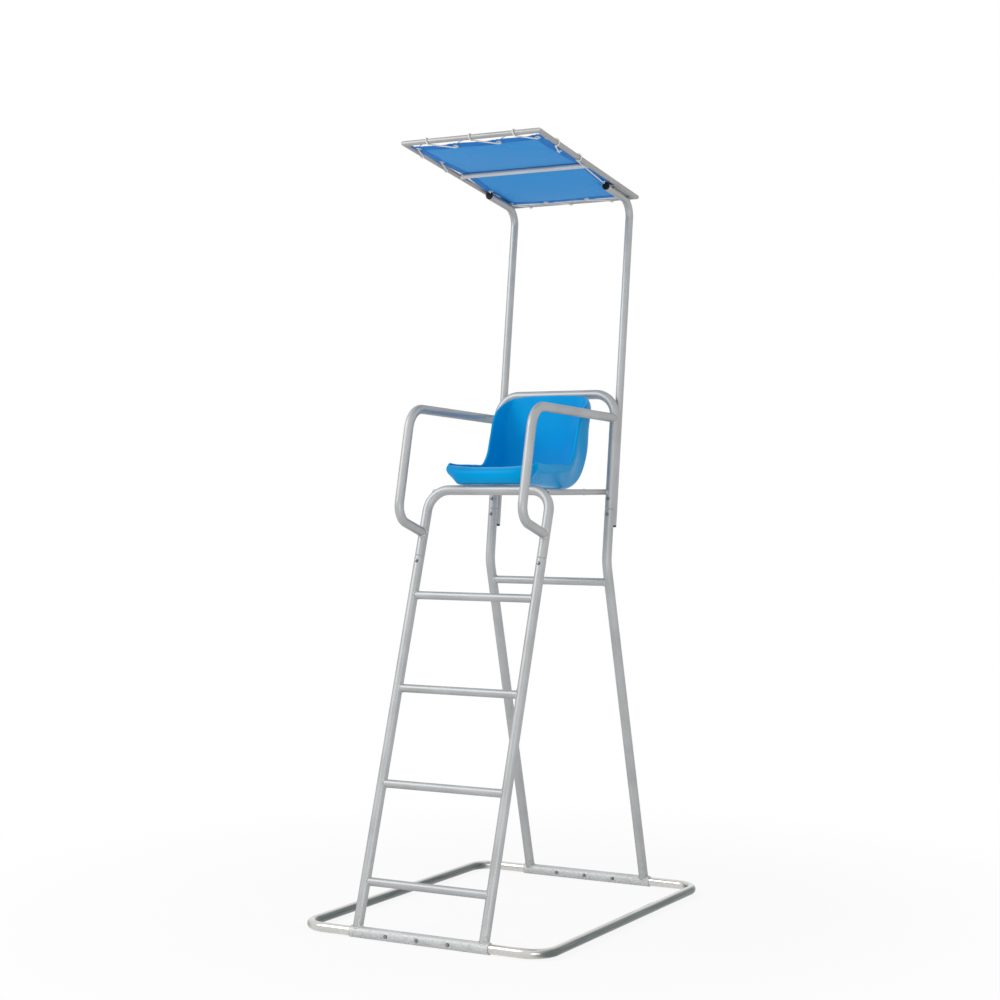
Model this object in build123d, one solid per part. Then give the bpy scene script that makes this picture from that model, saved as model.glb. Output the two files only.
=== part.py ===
from build123d import *
import os
from math import cos, radians, sin, tan

# Pool-side lifeguard chair of bent aluminium tube: a floor loop of two polished
# runners and two sleeve bars, a leaning ladder in front, a pair of bent rear legs,
# a plugged-on seat frame with armrests, a moulded bucket seat and a laced sunshade
# on two bent posts. Millimetres and degrees. The ladder faces -Y, left and right
# are as seen from the ladder side, and the floor is at Z 0.

# Stock tube: outside diameter and wall
leg_tube = 34.0
leg_wall = 2.0
bar_tube = 28.0
bar_wall = 2.0
runner_tube = 32.0
runner_wall = 1.5
sleeve_wall = 2.6
arm_tube = 32.0
arm_wall = 2.0
rail_tube = 20.0
rail_wall = 2.0
shade_tube = 18.0
shade_wall = 1.5

# Fits
weld_gap = 0.2
plug_fit = 0.4
seat_gap = 0.3
overrun = 60.0

# Floor loop
base_half_width = 455.0
base_half_depth = 603.0
base_corner_radius = 80.0
sleeve_half_length = 262.0
runner_insertion = 170.0

# Ladder and rear legs
frame_half_width = 238.0
front_rail_reach = 135.7
rung_first_rise = 157.0
rung_pitch = 310.0
rung_count = 4
rear_bend_reach = 286.4
rear_bend_drop = 191.0
rear_bend_radius = 140.0
rear_bar_drop = 72.0
back_lean = 7.2

# Plug joints between legs and seat frame
front_joint_rise = 134.0
rear_joint_drop = 59.0
plug_length = 60.0
swage_length = 4.0

# Seat frame
front_rail_rise = 226.0
front_rail_radius = 75.0
seat_rail_drop = 7.0
seat_rail_inset = 16.0
seat_bar_setback = 168.0
back_rail_rise = 352.0
back_rail_radius = 80.0

# Armrests
arm_rear_drop = 87.0
arm_rise = 2.3
arm_overhang = 130.0
arm_drop_lean = 13.2
arm_top_radius = 88.0
arm_foot_rise = 77.0
arm_foot_radius = 60.0

# Moulded seat
seat_wall = 6.0
seat_lip_overhang = 34.0
seat_lip_radius = 26.0
seat_rim_height = 69.0
seat_flange = 24.0
seat_foot_setback = 34.0
seat_foot_radius = 12.0
seat_half_width = 180.0
seat_lip_half_width = 172.0
seat_foot_half_width = 135.0
seat_heel_reach = 100.0
seat_heel_radius = 50.0
seat_rear_reach = 31.0
seat_back_lean = 7.4
seat_back_height = 322.0
seat_back_edge = 18.0
seat_crown = 12.0
seat_top_radius = 58.0
seat_corner_radius = 48.0
seat_dish_depth = 52.0
wing_reach = 301.0
wing_shares = ((0.22, 0.23), (0.30, 0.46), (0.38, 0.63), (0.55, 0.79), (0.77, 0.89))
dish_shares = ((0.28, 0.52), (0.58, 0.95), (0.84, 0.80))
heel_run_shares = (1.6, 1.6)

# Shade posts and arms
post_foot_drop = 61.0
post_corner_rise = 704.0
post_bend_radius = 62.0
shade_tilt = 9.2
arm_reach = 202.0
cap_length = 6.0
cap_chamfer = 2.0
cap_plug_length = 22.0

# Shade frame, brackets and cloth
shade_overhang = 23.0
shade_length = 763.0
shade_setback = 5.0
shade_rise = 18.0
shade_bar_share = 0.5
bracket_width = 26.0
bracket_length = 150.0
bracket_thickness = 4.0
bracket_setback = 35.0
cloth_thickness = 1.6
cloth_side_margin = 16.0
cloth_front_margin = 38.0
cloth_rear_margin = 24.0
cloth_edge_drop = 2.0
cloth_sag = 5.0
cloth_scallop = 6.0
cross_bay_count = 3
side_bay_count = 4

# Worked-out sizes
leg_radius = leg_tube / 2
bar_radius = bar_tube / 2
shade_radius = shade_tube / 2
sleeve_tube = runner_tube + 2 * plug_fit + 2 * sleeve_wall
sleeve_radius = sleeve_tube / 2
shade_half_width = frame_half_width + shade_overhang

# Heights, from the floor up through the ladder, the seat frame and the backrest
floor_axis = sleeve_radius
top_rung_height = floor_axis + rung_first_rise + (rung_count - 1) * rung_pitch
front_joint_height = top_rung_height + front_joint_rise
front_rail_height = front_joint_height + front_rail_rise
arm_foot_height = front_joint_height + arm_foot_rise
seat_rail_height = front_rail_height - seat_rail_drop
rear_joint_height = seat_rail_height - rear_joint_drop
rear_bend_height = rear_joint_height - rear_bend_drop
rear_bar_height = rear_bend_height - rear_bar_drop
back_rail_height = seat_rail_height + back_rail_rise
arm_rear_height = back_rail_height - arm_rear_drop
post_foot_height = rear_joint_height - post_foot_drop
post_corner_height = back_rail_height + post_corner_rise

# Slopes of the legs, from the floor loop up to the front rail and to the rear bend
front_slope = (base_half_depth - front_rail_reach) / (front_rail_height - floor_axis)
rear_slope = (base_half_depth - rear_bend_reach) / (rear_bend_height - floor_axis)
back_slope = tan(radians(back_lean))


def ladder_point(x, z):
    """Point at height z in the leaning plane of the ladder."""
    return Vector(x, (z - floor_axis) * front_slope - base_half_depth, z)


def rear_point(x, z):
    """Point at height z in the plane of the lower rear legs."""
    return Vector(x, base_half_depth - (z - floor_axis) * rear_slope, z)


def back_point(x, z):
    """Point at height z in the plane of the backrest hoop, above the rear bend."""
    return Vector(x, rear_bend_reach + (z - rear_bend_height) * back_slope, z)


def route(points, radii):
    """Straight runs joined by tangent arcs."""
    if radii is None:
        return Line(*points)
    return FilletPolyline(*points, radius=radii)


def rod(points, radii, diameter):
    """Solid round bar along a route."""
    path = route(points, radii)
    start = Plane(origin=path @ 0, z_dir=path % 0)
    return sweep(start * Circle(diameter / 2), path=path)


def tube(points, radii, diameter, wall):
    """Hollow round tube along a route."""
    path = route(points, radii)
    start = Plane(origin=path @ 0, z_dir=path % 0)
    ring = Circle(diameter / 2) - Circle(diameter / 2 - wall)
    return sweep(start * ring, path=path)


def coped(piece, *cutters):
    """Piece cut to the outside of its neighbours, without the offcuts."""
    for cutter in cutters:
        piece = piece - cutter
    return max(piece.solids(), key=lambda solid: solid.volume)


def socket_top(below, joint):
    """End of a leg, set back from its joint by the taper of the plug above."""
    return joint - (joint - below).normalized() * swage_length


def swaged_end(tip, direction):
    """Reduced plug at the end of a leg-size tube, to slide into another one."""
    outer = leg_radius
    inner = leg_radius - leg_wall
    plug = inner - plug_fit
    profile = Polyline(
        (inner, 0),
        (outer, 0),
        (plug, -swage_length),
        (plug, -swage_length - plug_length),
        (plug - leg_wall, -swage_length - plug_length),
        (plug - leg_wall, -swage_length),
        close=True,
    )
    ring = revolve(Plane.XZ * make_face(profile), axis=Axis.Z)
    return Plane(origin=tip, z_dir=-direction).location * ring


def end_cap(tip, direction):
    """Plastic cap with a bevelled edge and a plug that fits inside a bar-size tube."""
    head = Cylinder(bar_radius, cap_length, align=(Align.CENTER, Align.CENTER, Align.MIN))
    head = chamfer(head.edges().group_by(Axis.Z)[-1], cap_chamfer)
    plug = Cylinder(
        bar_radius - bar_wall - weld_gap,
        cap_plug_length,
        align=(Align.CENTER, Align.CENTER, Align.MAX),
    )
    return Plane(origin=tip, z_dir=direction).location * (head + plug)


nodes = {}
sides = {"left": -1, "right": 1}

# Floor loop: sleeve bars front and rear, with a U-shaped runner plugged in on each side
for name, y in (("front_base_sleeve", -base_half_depth), ("rear_base_sleeve", base_half_depth)):
    ends = [Vector(-sleeve_half_length, y, floor_axis), Vector(sleeve_half_length, y, floor_axis)]
    nodes[name] = tube(ends, None, sleeve_tube, sleeve_wall)

for side, sign in sides.items():
    inner_x = sign * (sleeve_half_length - runner_insertion)
    outer_x = sign * base_half_width
    corners = [
        Vector(inner_x, -base_half_depth, floor_axis),
        Vector(outer_x, -base_half_depth, floor_axis),
        Vector(outer_x, base_half_depth, floor_axis),
        Vector(inner_x, base_half_depth, floor_axis),
    ]
    nodes[f"base_runner_{side}"] = tube(corners, base_corner_radius, runner_tube, runner_wall)

line = [
    Vector(-sleeve_half_length, -base_half_depth, floor_axis),
    Vector(sleeve_half_length, -base_half_depth, floor_axis),
]
front_sleeve_cut = rod(line, None, sleeve_tube + 2 * weld_gap)
rear_sleeve_cut = front_sleeve_cut.mirror(Plane.XZ)

# Ladder: two legs coped on the front sleeve, with rungs coped between them
leg_cuts = {}
for side, sign in sides.items():
    x = sign * frame_half_width
    foot = ladder_point(x, floor_axis)
    line = [foot, socket_top(foot, ladder_point(x, front_joint_height))]
    nodes[f"ladder_leg_{side}"] = coped(tube(line, None, leg_tube, leg_wall), front_sleeve_cut)
    leg_cuts[side] = rod(line, None, leg_tube + 2 * weld_gap)

for step in range(rung_count):
    z = floor_axis + rung_first_rise + step * rung_pitch
    line = [ladder_point(-frame_half_width, z), ladder_point(frame_half_width, z)]
    rung = tube(line, None, bar_tube, bar_wall)
    nodes[f"ladder_rung_{step + 1}"] = coped(rung, leg_cuts["left"], leg_cuts["right"])

# Rear legs: bent once, coped on the rear sleeve and joined by a cross bar
rear_cuts = {}
for side, sign in sides.items():
    x = sign * frame_half_width
    bend = rear_point(x, rear_bend_height)
    line = [rear_point(x, floor_axis), bend, socket_top(bend, back_point(x, rear_joint_height))]
    leg = tube(line, rear_bend_radius, leg_tube, leg_wall)
    nodes[f"rear_leg_{side}"] = coped(leg, rear_sleeve_cut)
    rear_cuts[side] = rod(line, rear_bend_radius, leg_tube + 2 * weld_gap)

line = [
    rear_point(-frame_half_width, rear_bar_height),
    rear_point(frame_half_width, rear_bar_height),
]
rear_bar = tube(line, None, bar_tube, bar_wall)
nodes["rear_cross_bar"] = coped(rear_bar, rear_cuts["left"], rear_cuts["right"])


def hoop_route(place, joint_height, top_height):
    """Corners of an upturned U from one leg joint over the top rail to the other."""
    return [
        place(-frame_half_width, joint_height),
        place(-frame_half_width, top_height),
        place(frame_half_width, top_height),
        place(frame_half_width, joint_height),
    ]


def plugged_hoop(corners, radius):
    """Upturned U whose swaged ends slide into the legs below."""
    hoop = tube(corners, radius, leg_tube, leg_wall)
    rise = (corners[1] - corners[0]).normalized()
    for foot in (corners[0], corners[-1]):
        hoop = hoop + swaged_end(foot, -rise)
    return hoop.solids()[0]


front_corners = hoop_route(ladder_point, front_joint_height, front_rail_height)
back_corners = hoop_route(back_point, rear_joint_height, back_rail_height)
nodes["front_hoop"] = plugged_hoop(front_corners, front_rail_radius)
nodes["backrest_hoop"] = plugged_hoop(back_corners, back_rail_radius)
front_hoop_cut = rod(front_corners, front_rail_radius, leg_tube + 2 * weld_gap)
back_hoop_cut = rod(back_corners, back_rail_radius, leg_tube + 2 * weld_gap)

# Seat rails from the corner of the front hoop to the backrest hoop, and the bar between them
front_rail_y = -front_rail_reach
rail_rear_y = back_point(0, seat_rail_height).Y
seat_bar_y = rail_rear_y - seat_bar_setback
seat_rail_half_width = frame_half_width - seat_rail_inset
rail_cuts = {}
for side, sign in sides.items():
    x = sign * seat_rail_half_width
    line = [Vector(x, front_rail_y, seat_rail_height), Vector(x, rail_rear_y, seat_rail_height)]
    rail = tube(line, None, rail_tube, rail_wall)
    nodes[f"seat_rail_{side}"] = coped(rail, front_hoop_cut, back_hoop_cut)
    rail_cuts[side] = rod(line, None, rail_tube + 2 * weld_gap)

line = [
    Vector(-seat_rail_half_width, seat_bar_y, seat_rail_height),
    Vector(seat_rail_half_width, seat_bar_y, seat_rail_height),
]
seat_bar = tube(line, None, rail_tube, rail_wall)
nodes["seat_cross_bar"] = coped(seat_bar, rail_cuts["left"], rail_cuts["right"])

# Armrests: level run, bend, leaning drop, bend, and a foot square to the ladder
arm_drop_y = front_rail_y - arm_overhang
for side, sign in sides.items():
    x = sign * frame_half_width
    rear = back_point(x, arm_rear_height)
    foot = ladder_point(x, arm_foot_height)
    shoulder_z = rear.Z + (rear.Y - arm_drop_y) * tan(radians(arm_rise))
    drop = tan(radians(arm_drop_lean))
    knee_z = foot.Z - front_slope * (arm_drop_y - shoulder_z * drop - foot.Y)
    knee_z = knee_z / (1 + front_slope * drop)
    knee_y = arm_drop_y + (knee_z - shoulder_z) * drop
    line = [rear, Vector(x, arm_drop_y, shoulder_z), Vector(x, knee_y, knee_z), foot]
    arm = tube(line, [arm_top_radius, arm_foot_radius], arm_tube, arm_wall)
    nodes[f"armrest_{side}"] = coped(arm, front_hoop_cut, back_hoop_cut)

# Moulded bucket seat: side, front and plan outlines crossed, then dished from above
front_rail_top = front_rail_height + leg_radius
seat_bar_top = seat_rail_height + rail_tube / 2
floor_slope = (seat_bar_top - front_rail_top) / (seat_bar_y - front_rail_y)
lip_y = front_rail_y - seat_lip_overhang
foot_y = lip_y + seat_foot_setback
heel_y = seat_bar_y + seat_heel_reach
rear_y = heel_y + seat_rear_reach
rim_z = front_rail_top + seat_rim_height
top_z = front_rail_top + seat_back_height
top_y = rear_y + (top_z - rim_z) * tan(radians(seat_back_lean))


def seat_floor(y):
    """Underside of the seat, resting on the front rail and on the bar behind it."""
    return front_rail_top + seat_gap + (y - front_rail_y) * floor_slope


def between(start, end, share):
    """Point at a share of the way along each axis."""
    return (start[0] + (end[0] - start[0]) * share[0], start[1] + (end[1] - start[1]) * share[1])


def rounded(outline, corner, radius):
    """Outline with its vertex nearest to a corner rounded off."""
    return fillet(outline.vertices().sort_by_distance(Vector(*corner))[0], radius)


def seat_side():
    """Side outline: rolled lip, rim, curved wing edge and rounded heel, open-ended behind the back."""
    wing_foot = (lip_y + wing_reach, rim_z)
    wing_top = (top_y - seat_back_edge, top_z)
    wing_points = [between(wing_foot, wing_top, share) for share in wing_shares]
    lip = (lip_y, rim_z)
    foot = (foot_y, seat_floor(foot_y))
    heel = (heel_y, seat_floor(heel_y))
    behind = between(heel, (rear_y, rim_z), heel_run_shares)
    edge = Spline(wing_foot, *wing_points, wing_top)
    rest = Polyline(wing_top, (top_y + overrun, top_z), behind, heel, foot, lip, wing_foot)
    outline = make_face([*edge.edges(), *rest.edges()])
    outline = rounded(outline, lip, seat_lip_radius)
    outline = rounded(outline, foot, seat_foot_radius)
    return rounded(outline, heel, seat_heel_radius)


def seat_hollow():
    """Side outline of the sitter's space, from the dished floor to above the back."""
    lip = (lip_y + seat_lip_radius, rim_z)
    sink = (rear_y, rim_z - seat_dish_depth)
    dish_points = [between(lip, sink, share) for share in dish_shares]
    behind = (rear_y + overrun, rim_z)
    floor = Spline(lip, *dish_points, behind)
    rest = Polyline(behind, (top_y + overrun, top_z + overrun), (lip_y, top_z + overrun), lip)
    return make_face([*floor.edges(), *rest.edges()])


def seat_front(inset):
    """Front outline: drafted pan under an upright flange, straight wings and an arched top."""
    half = seat_half_width - inset
    foot = seat_foot_half_width - inset
    top = top_z - inset
    shoulder = top - seat_crown
    side = [(half, shoulder), (half, rim_z - seat_flange), (foot, seat_floor(heel_y))]
    mirrored = [(-x, z) for x, z in reversed(side)]
    crown = ThreePointArc((-half, shoulder), (0, top), (half, shoulder))
    outline = make_face([crown, *Polyline(*side, *mirrored).edges()])
    for corner in ((half, shoulder), (-half, shoulder)):
        outline = rounded(outline, corner, seat_top_radius - inset)
    return outline


def seat_plan(inset):
    """Plan outline at the rim: a little narrower at the lip, with rounded corners."""
    lip_half = seat_lip_half_width - inset
    rear_half = seat_half_width - inset
    front = lip_y + inset
    rear = rear_y - inset
    corners = [(-lip_half, front), (lip_half, front), (rear_half, rear), (-rear_half, rear)]
    outline = make_face(Polyline(*corners, close=True))
    outline = fillet(outline.vertices(), seat_corner_radius - inset)
    return Pos(0, 0, rim_z) * outline


def seat_form(side_outline, inset):
    """Solid shared by a side outline and by front and plan outlines drawn in by the inset."""
    form = extrude(Plane.YZ * side_outline, amount=seat_half_width, both=True)
    form = form & extrude(Plane.XZ * seat_front(inset), amount=top_y + overrun, both=True)
    along_back = Vector(0, sin(radians(seat_back_lean)), cos(radians(seat_back_lean)))
    return form & extrude(seat_plan(inset), amount=seat_back_height, dir=along_back, both=True)


seat_body = seat_form(seat_side(), 0)
nodes["seat_shell"] = coped(seat_body, seat_form(seat_hollow(), seat_wall))

# Shade posts behind the backrest hoop, bent forward into short arms
post_offset = leg_radius + bar_radius + weld_gap
post_shift_y = post_offset / cos(radians(back_lean))
shade_forward = Vector(0, -cos(radians(shade_tilt)), sin(radians(shade_tilt)))
post_rise = Vector(0, sin(radians(back_lean)), cos(radians(back_lean)))
arm_cuts = {}
for side, sign in sides.items():
    x = sign * frame_half_width
    shift = Vector(0, post_shift_y, 0)
    foot = back_point(x, post_foot_height) + shift
    corner = back_point(x, post_corner_height) + shift
    tip = corner + shade_forward * arm_reach
    nodes[f"shade_post_{side}"] = tube([foot, corner, tip], post_bend_radius, bar_tube, bar_wall)
    nodes[f"post_arm_cap_{side}"] = end_cap(tip, shade_forward)
    nodes[f"post_foot_cap_{side}"] = end_cap(foot, -post_rise)
    arm_cuts[side] = rod([corner, tip], None, bar_tube + 2 * weld_gap)

# Shade frame on the arms: local X across, Y to the rear down the slope, Z above the cloth
shade_up = Vector(0, sin(radians(shade_tilt)), cos(radians(shade_tilt)))
post_corner = back_point(0, post_corner_height) + Vector(0, post_shift_y, 0)
shade_origin = post_corner + shade_forward * shade_setback + shade_up * shade_rise
shade_place = Plane(origin=shade_origin, x_dir=(1, 0, 0), z_dir=shade_up).location


def mitred_bar(start, end):
    """Frame tube between two corners, mitred to meet its neighbours."""
    along = (end - start).normalized() * shade_tube
    inward = along.rotate(Axis.Z, 90)
    bar = tube([start - along, end + along], None, shade_tube, shade_wall)
    wedge = make_face(
        Polyline(
            start - along - inward,
            end + along - inward,
            end - along + inward,
            start + along + inward,
            close=True,
        )
    )
    return bar & extrude(wedge, amount=shade_tube, both=True)


shade_corners = [
    Vector(-shade_half_width, -shade_length, 0),
    Vector(shade_half_width, -shade_length, 0),
    Vector(shade_half_width, 0, 0),
    Vector(-shade_half_width, 0, 0),
]
bar_names = ["shade_front_bar", "shade_side_right", "shade_rear_bar", "shade_side_left"]
for index, name in enumerate(bar_names):
    bar = mitred_bar(shade_corners[index - len(bar_names)], shade_corners[index + 1 - len(bar_names)])
    nodes[name] = shade_place * bar

middle_y = -shade_length * shade_bar_share
middle = tube(
    [Vector(-shade_half_width, middle_y, 0), Vector(shade_half_width, middle_y, 0)],
    None,
    shade_tube,
    shade_wall,
)
side_cuts = [
    rod([shade_corners[0], shade_corners[3]], None, shade_tube + 2 * weld_gap),
    rod([shade_corners[1], shade_corners[2]], None, shade_tube + 2 * weld_gap),
]
nodes["shade_middle_bar"] = shade_place * coped(middle, *side_cuts)

# Brackets: plates welded along the arms, with the side tubes bolted down on them
for side, sign in sides.items():
    plate = Box(
        bracket_width,
        bracket_length,
        bracket_thickness,
        align=(Align.MIN, Align.MAX, Align.MAX),
    )
    plate = Pos(frame_half_width, -bracket_setback, -shade_radius - weld_gap) * plate
    if sign < 0:
        plate = plate.mirror(Plane.YZ)
    nodes[f"shade_bracket_{side}"] = coped(shade_place * plate, arm_cuts[side])


def scalloped_edge(start, end, bays, inward):
    """Edge of the cloth, drawn in between the points where it is laced."""
    arcs = []
    for bay in range(bays):
        first = start + (end - start) * (bay / bays)
        last = start + (end - start) * ((bay + 1) / bays)
        arcs.append(ThreePointArc(first, (first + last) / 2 + inward * cloth_scallop, last))
    return arcs


def cloth_outline():
    """Plan of the cloth in the shade's plane, a corner at each end of its scalloped edges."""
    half = shade_half_width - cloth_side_margin
    front = cloth_front_margin - shade_length
    rear = -cloth_rear_margin
    corners = [Vector(-half, front), Vector(half, front), Vector(half, rear), Vector(-half, rear)]
    edges = []
    for index, first in enumerate(corners):
        last = corners[index + 1 - len(corners)]
        bays = side_bay_count if index % 2 else cross_bay_count
        edges += scalloped_edge(first, last, bays, (last - first).normalized().rotate(Axis.Z, 90))
    return make_face(edges)


def cloth_profile():
    """Side profile of the cloth: a sagging panel on each side of the bar that it lies over."""
    crest = (middle_y, shade_radius + seat_gap)
    lower = []
    for end_y in (-shade_length, 0):
        end = (end_y, -cloth_edge_drop)
        belly = ((end[0] + crest[0]) / 2, (end[1] + crest[1]) / 2 - cloth_sag)
        lower.append(ThreePointArc(end, belly, crest))
    upper = [Pos(0, cloth_thickness) * arc for arc in lower]
    closing = [Line(low @ 0, high @ 0) for low, high in zip(lower, upper)]
    return make_face([*lower, *upper, *closing])


# Cloth: one sheet over the middle bar, inside the frame that it is laced to
cloth = extrude(Plane.YZ * cloth_profile(), amount=shade_half_width, both=True)
cloth = cloth & extrude(cloth_outline(), amount=shade_tube, both=True)
nodes["shade_cloth"] = shade_place * cloth

os.makedirs("parts", exist_ok=True)
for name, piece in nodes.items():
    export_step(piece, f"parts/{name}.step")
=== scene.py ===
import math

import bpy
import numpy as np
from mathutils import Matrix, Vector, noise
from mathutils.bvhtree import BVHTree


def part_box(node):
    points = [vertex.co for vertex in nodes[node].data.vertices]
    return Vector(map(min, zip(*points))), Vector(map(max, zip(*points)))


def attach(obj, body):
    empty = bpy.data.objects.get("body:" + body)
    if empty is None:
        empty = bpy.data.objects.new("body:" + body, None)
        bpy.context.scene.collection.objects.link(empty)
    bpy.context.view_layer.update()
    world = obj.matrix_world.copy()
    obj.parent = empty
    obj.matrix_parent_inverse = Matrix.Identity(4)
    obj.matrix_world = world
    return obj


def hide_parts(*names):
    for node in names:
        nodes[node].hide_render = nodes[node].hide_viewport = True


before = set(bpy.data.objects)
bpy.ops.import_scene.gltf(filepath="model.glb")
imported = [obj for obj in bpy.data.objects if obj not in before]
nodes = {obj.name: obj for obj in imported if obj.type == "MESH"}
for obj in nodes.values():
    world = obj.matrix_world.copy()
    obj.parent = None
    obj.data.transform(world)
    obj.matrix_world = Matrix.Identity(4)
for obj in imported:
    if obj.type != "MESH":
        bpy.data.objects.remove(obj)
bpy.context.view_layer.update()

# Dresses the pool-side lifeguard chair: drawn and polished tube, welds, bolts, the moulded
# blue seat and the laced sunshade. Metres in the CAD frame: the ladder faces -Y, floor at Z 0.

SIDES = {"left": -1, "right": 1}
X_AXIS = Vector((1, 0, 0))
Y_AXIS = Vector((0, 1, 0))


def middle(node):
    """Middle of a CAD node's box."""
    low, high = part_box(node)
    return (low + high) / 2


def span(node):
    """Size of a CAD node's box along each axis."""
    low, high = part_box(node)
    return high - low


# Tube sizes and directions, read from the frame
leg_radius = span("ladder_leg_right").x / 2
bar_radius = span("ladder_rung_1").z / 2
arm_radius = span("armrest_right").x / 2
rail_radius = span("seat_rail_right").x / 2
sleeve_radius = span("front_base_sleeve").z / 2
shade_radius = span("shade_rear_bar").z / 2
frame_half = middle("ladder_leg_right").x
shade_half = middle("shade_side_right").x
ladder_up = (middle("ladder_rung_4") - middle("ladder_rung_1")).normalized()
rear_up = (middle("rear_cross_bar") - middle("rear_base_sleeve")).normalized()
shade_run = middle("shade_front_bar") - middle("shade_rear_bar")
shade_length = shade_run.length
shade_forward = shade_run.normalized()
back_lean = math.radians(7.2)
back_up = Vector((0, math.sin(back_lean), math.cos(back_lean)))
back_normal = Vector((0, -math.cos(back_lean), math.sin(back_lean)))


def angles(count):
    """Even angles round a full turn."""
    return [math.tau * turn / count for turn in range(count)]


def ring_about(centre, first, second, radii):
    """Ring of points about a centre, in the plane of two directions, with a radius for each point."""
    turns = zip(angles(len(radii)), radii)
    return [centre + (first * math.cos(angle) + second * math.sin(angle)) * radius for angle, radius in turns]


def put(name, data):
    """Makes an object of some data and puts it in the scene."""
    made = bpy.data.objects.new(name, data)
    bpy.context.scene.collection.objects.link(made)
    return made


# Mesh building: every piece is made of rings of points joined by quads
class Rings:
    """Collects lofted rings into one mesh."""

    def __init__(self):
        self.points = []
        self.faces = []

    def loft(self, rings, round_ring=True, loop=False, caps=False):
        """Joins rings of equal length with quads."""
        start = len(self.points)
        count = len(rings[0])
        for ring in rings:
            self.points.extend(Vector(p) for p in ring)
        steps = len(rings) if loop else len(rings) - 1
        turns = count if round_ring else count - 1
        for step in range(steps):
            here = start + step * count
            there = start + (step + 1) % len(rings) * count
            for turn in range(turns):
                after = (turn + 1) % count
                self.faces.append((here + turn, here + after, there + after, there + turn))
        if caps:
            last = start + (len(rings) - 1) * count
            self.faces.append(tuple(reversed(range(start, start + count))))
            self.faces.append(tuple(range(last, last + count)))

    def turned(self, profile, place, count=28, caps=True, loop=False):
        """Turned form: (radius, height) pairs about the Z axis of a place."""
        across, upright, axis, origin = (column.xyz for column in place.col)
        rings = [ring_about(origin + axis * z, across, upright, [radius] * count) for radius, z in profile]
        self.loft(rings, loop=loop, caps=caps)

    def piece(self, name, material, slot, replaced=(), crease=math.radians(40)):
        """Makes the collected mesh a piece of the model."""
        mesh = bpy.data.meshes.new(name)
        mesh.from_pydata(self.points, [], self.faces)
        mesh.validate()
        mesh.update()
        mesh.shade_smooth()
        if crease:
            mesh.set_sharp_from_angle(angle=crease)
        mesh.materials.append(material)
        made = put(name, mesh)
        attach(made, "root")
        if replaced:
            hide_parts(*replaced)
        return made


def placed(point, direction):
    """Place whose Z axis points in a direction."""
    return Matrix.Translation(point) @ direction.to_track_quat("Z", "Y").to_matrix().to_4x4()


# Shader node helpers
def add(tree, kind, inputs=None, **settings):
    """Adds a node, sets its properties, and sets or links its inputs."""
    node = tree.nodes.new(kind)
    for name, value in settings.items():
        setattr(node, name, value)
    for key, value in (inputs or {}).items():
        if isinstance(value, bpy.types.NodeSocket):
            tree.links.new(value, node.inputs[key])
        else:
            node.inputs[key].default_value = value
    return node


def math_node(tree, operation, *values):
    """Adds a Math node and gives its output."""
    return add(tree, "ShaderNodeMath", dict(enumerate(values)), operation=operation).outputs[0]


def vector_node(tree, operation, *values):
    """Adds a Vector Math node and gives its vector output."""
    return add(tree, "ShaderNodeVectorMath", dict(enumerate(values)), operation=operation).outputs[0]


def noise_node(tree, vector, scale, detail=3.0, roughness=0.5):
    """Adds a Noise Texture and gives its value, near 0.5."""
    inputs = {"Vector": vector, "Scale": scale, "Detail": detail, "Roughness": roughness}
    return add(tree, "ShaderNodeTexNoise", inputs).outputs[0]


def scaled(tree, value, amount):
    """Multiplies a value."""
    return math_node(tree, "MULTIPLY", value, amount)


def stretched(tree, vector, amount):
    """Scales a vector."""
    return add(tree, "ShaderNodeVectorMath", {0: vector, "Scale": amount}, operation="SCALE").outputs[0]


def feed(node, socket, value):
    """Links a value to an input of a node."""
    node.id_data.links.new(value, node.inputs[socket])


def coordinates(tree, kind="Object"):
    """Gives the place on an object, or another kind of texture coordinates."""
    return add(tree, "ShaderNodeTexCoord").outputs[kind]


def parted(tree, vector):
    """Splits a vector into its X, Y and Z."""
    return add(tree, "ShaderNodeSeparateXYZ", {0: vector}).outputs


def spread(tree, value, low, high, new_low=0.0, new_high=1.0):
    """Maps a range of a value smoothly to another one."""
    inputs = {0: value, 1: low, 2: high, 3: new_low, 4: new_high}
    return add(tree, "ShaderNodeMapRange", inputs, interpolation_type="SMOOTHSTEP").outputs[0]


def colour_mix(tree, share, first, second):
    """Mixes two colours by a share."""
    factor, first_colour, second_colour, colour_out = 0, 6, 7, 2
    inputs = {factor: share, first_colour: first, second_colour: second}
    return add(tree, "ShaderNodeMix", inputs, data_type="RGBA").outputs[colour_out]


def group(name, inputs, outputs):
    """Starts a shader node group with named sockets."""
    tree = bpy.data.node_groups.new(name, "ShaderNodeTree")
    for socket, value in inputs.items():
        kind = "NodeSocketFloat" if isinstance(value, float) else "NodeSocketVector"
        tree.interface.new_socket(socket, in_out="INPUT", socket_type=kind).default_value = value
    for socket in outputs:
        tree.interface.new_socket(socket, in_out="OUTPUT", socket_type="NodeSocketFloat")
    return tree, tree.nodes.new("NodeGroupInput").outputs, tree.nodes.new("NodeGroupOutput")


def use(tree, made, **values):
    """Places a node group in a material with its own values."""
    node = add(tree, "ShaderNodeGroup", node_tree=made)
    for name, value in values.items():
        node.inputs[name.replace("_", " ").capitalize()].default_value = value
    return node.outputs


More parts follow.
